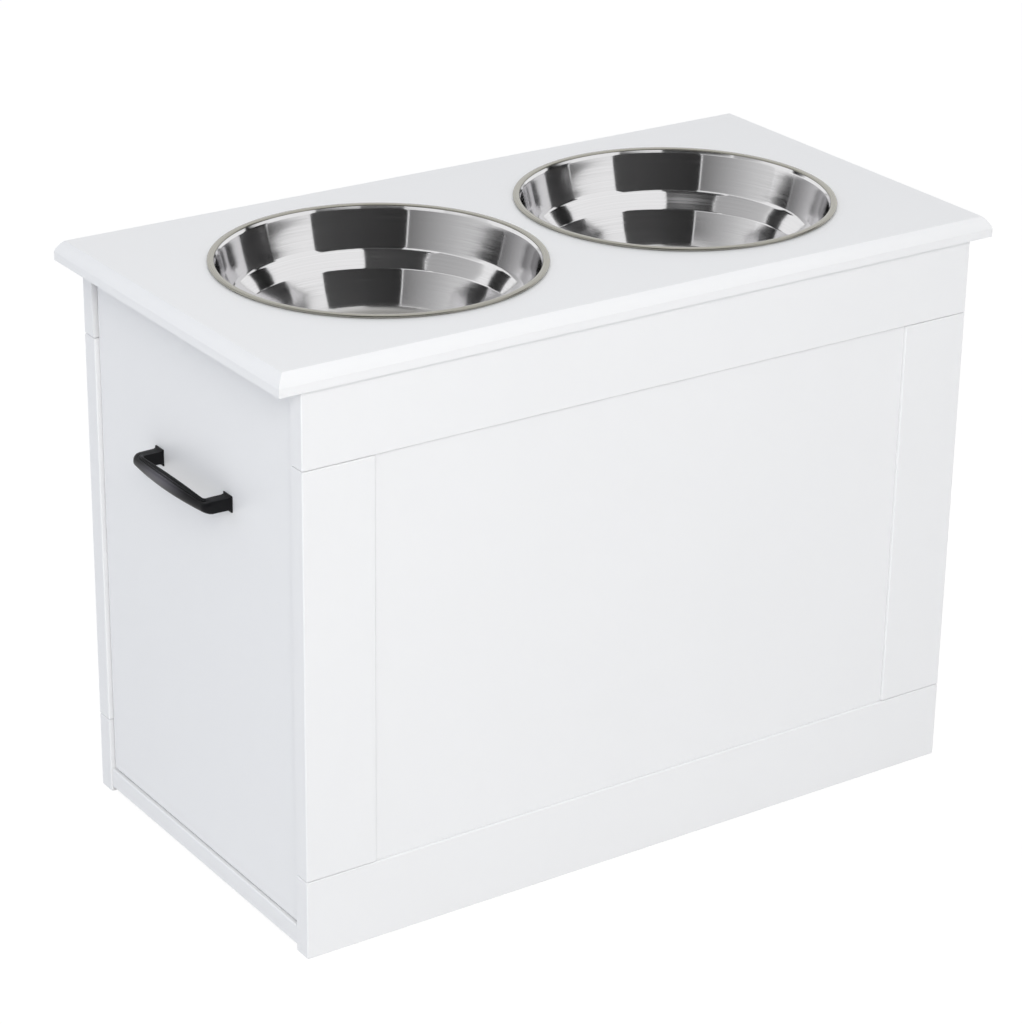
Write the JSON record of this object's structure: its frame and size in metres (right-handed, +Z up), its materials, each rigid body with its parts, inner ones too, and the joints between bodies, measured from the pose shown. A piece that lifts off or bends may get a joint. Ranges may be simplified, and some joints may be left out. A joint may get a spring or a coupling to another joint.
{
  "type": "elevated dog feeder with storage",
  "caption": "White panelled chest that lifts two drop-in steel feeding bowls off the floor, with a tall storage drawer that rolls out of one end on a black pull.",
  "frame": {"origin": "on the floor, under the middle of the cabinet body", "axes": "+X towards the right end, -X out of the drawer end, -Y out of the front panel, +Z up"},
  "size_m": [0.6045, 0.312, 0.4373],
  "materials": {
    "white_paint": "satin white lacquer on fibreboard",
    "lid_paint": "satin white lacquer on fibreboard",
    "end_paint": "satin white lacquer on fibreboard",
    "base_paint": "satin white lacquer on fibreboard",
    "panel_paint": "satin white lacquer on thin fibreboard",
    "drawer_paint": "matt white foil on fibreboard",
    "drawer_base": "matt white foil on hardboard",
    "beech": "bare beech",
    "zinc_alloy": "dull zinc alloy",
    "screw_steel": "zinc-plated steel",
    "pin_steel": "plated steel rivet",
    "slide_steel": "white powder-coated sheet steel",
    "nylon": "white nylon",
    "black_cast": "satin black over cast zinc",
    "bowl_steel": "fine circular brushing"
  },
  "bodies": {
    "cabinet": {"lid_board": "lid_paint", "base_board": "base_paint", "end_board": "end_paint", "front_bottom_rail": "white_paint", "front_top_rail": "white_paint", "front_left_stile": "white_paint", "front_right_stile": "white_paint", "front_panel": "panel_paint", "back_bottom_rail": "white_paint", "back_top_rail": "white_paint", "back_left_stile": "white_paint", "back_right_stile": "white_paint", "back_panel": "panel_paint", "cabinet_dowels": "beech", "cabinet_cam_locks": "zinc_alloy", "cabinet_cam_bolts": "zinc_alloy", "cabinet_slide_left": "slide_steel", "cabinet_slide_right": "slide_steel", "cabinet_slide_screws": "screw_steel", "cabinet_roller_pins": "pin_steel"},
    "drawer": {"drawer_front": "end_paint", "drawer_left_wall": "drawer_paint", "drawer_right_wall": "drawer_paint", "drawer_back": "drawer_paint", "drawer_floor": "drawer_base", "drawer_cam_locks": "zinc_alloy", "drawer_cam_bolts": "zinc_alloy", "drawer_back_screws": "screw_steel", "drawer_slide_left": "slide_steel", "drawer_slide_right": "slide_steel", "drawer_slide_screws": "screw_steel", "drawer_roller_pins": "pin_steel", "handle": "black_cast", "handle_screws": "screw_steel"},
    "cabinet_roller_left": {"cabinet_roller_left": "nylon"},
    "cabinet_roller_right": {"cabinet_roller_right": "nylon"},
    "drawer_roller_left": {"drawer_roller_left": "nylon"},
    "drawer_roller_right": {"drawer_roller_right": "nylon"},
    "bowl_left": {"bowl_left": "bowl_steel"},
    "bowl_right": {"bowl_right": "bowl_steel"}
  },
  "joints": [
    {"name": "drawer", "type": "slide", "parent": "cabinet", "child": "drawer", "axis": [-1, 0, 0], "range_m": [0, 0.34]},
    {"name": "bowl_left_lift", "type": "slide", "parent": "cabinet", "child": "bowl_left", "axis": [0, 0, 1], "range_m": [0, 0.1]},
    {"name": "bowl_right_lift", "type": "slide", "parent": "cabinet", "child": "bowl_right", "axis": [0, 0, 1], "range_m": [0, 0.1]},
    {"name": "cabinet_roller_left_spin", "type": "hinge", "parent": "cabinet", "child": "cabinet_roller_left", "pos_m": [-0.25, 0.1305, 0.0484], "axis": [0, -1, 0], "range_deg": [0, 2300]},
    {"name": "cabinet_roller_right_spin", "type": "hinge", "parent": "cabinet", "child": "cabinet_roller_right", "pos_m": [-0.25, -0.1305, 0.0484], "axis": [0, -1, 0], "range_deg": [0, 2300]},
    {"name": "drawer_roller_left_spin", "type": "hinge", "parent": "drawer", "child": "drawer_roller_left", "pos_m": [0.1768, 0.129, 0.0452], "axis": [0, -1, 0], "range_deg": [0, 2010]},
    {"name": "drawer_roller_right_spin", "type": "hinge", "parent": "drawer", "child": "drawer_roller_right", "pos_m": [0.1768, -0.129, 0.0452], "axis": [0, -1, 0], "range_deg": [0, 2010]}
  ],
  "couplings": [
    {"joint": "cabinet_roller_left_spin", "follows": "drawer", "rad_per_m": 117.65},
    {"joint": "cabinet_roller_right_spin", "follows": "drawer", "rad_per_m": 117.65},
    {"joint": "drawer_roller_left_spin", "follows": "drawer", "rad_per_m": 103.09},
    {"joint": "drawer_roller_right_spin", "follows": "drawer", "rad_per_m": 103.09}
  ]
}
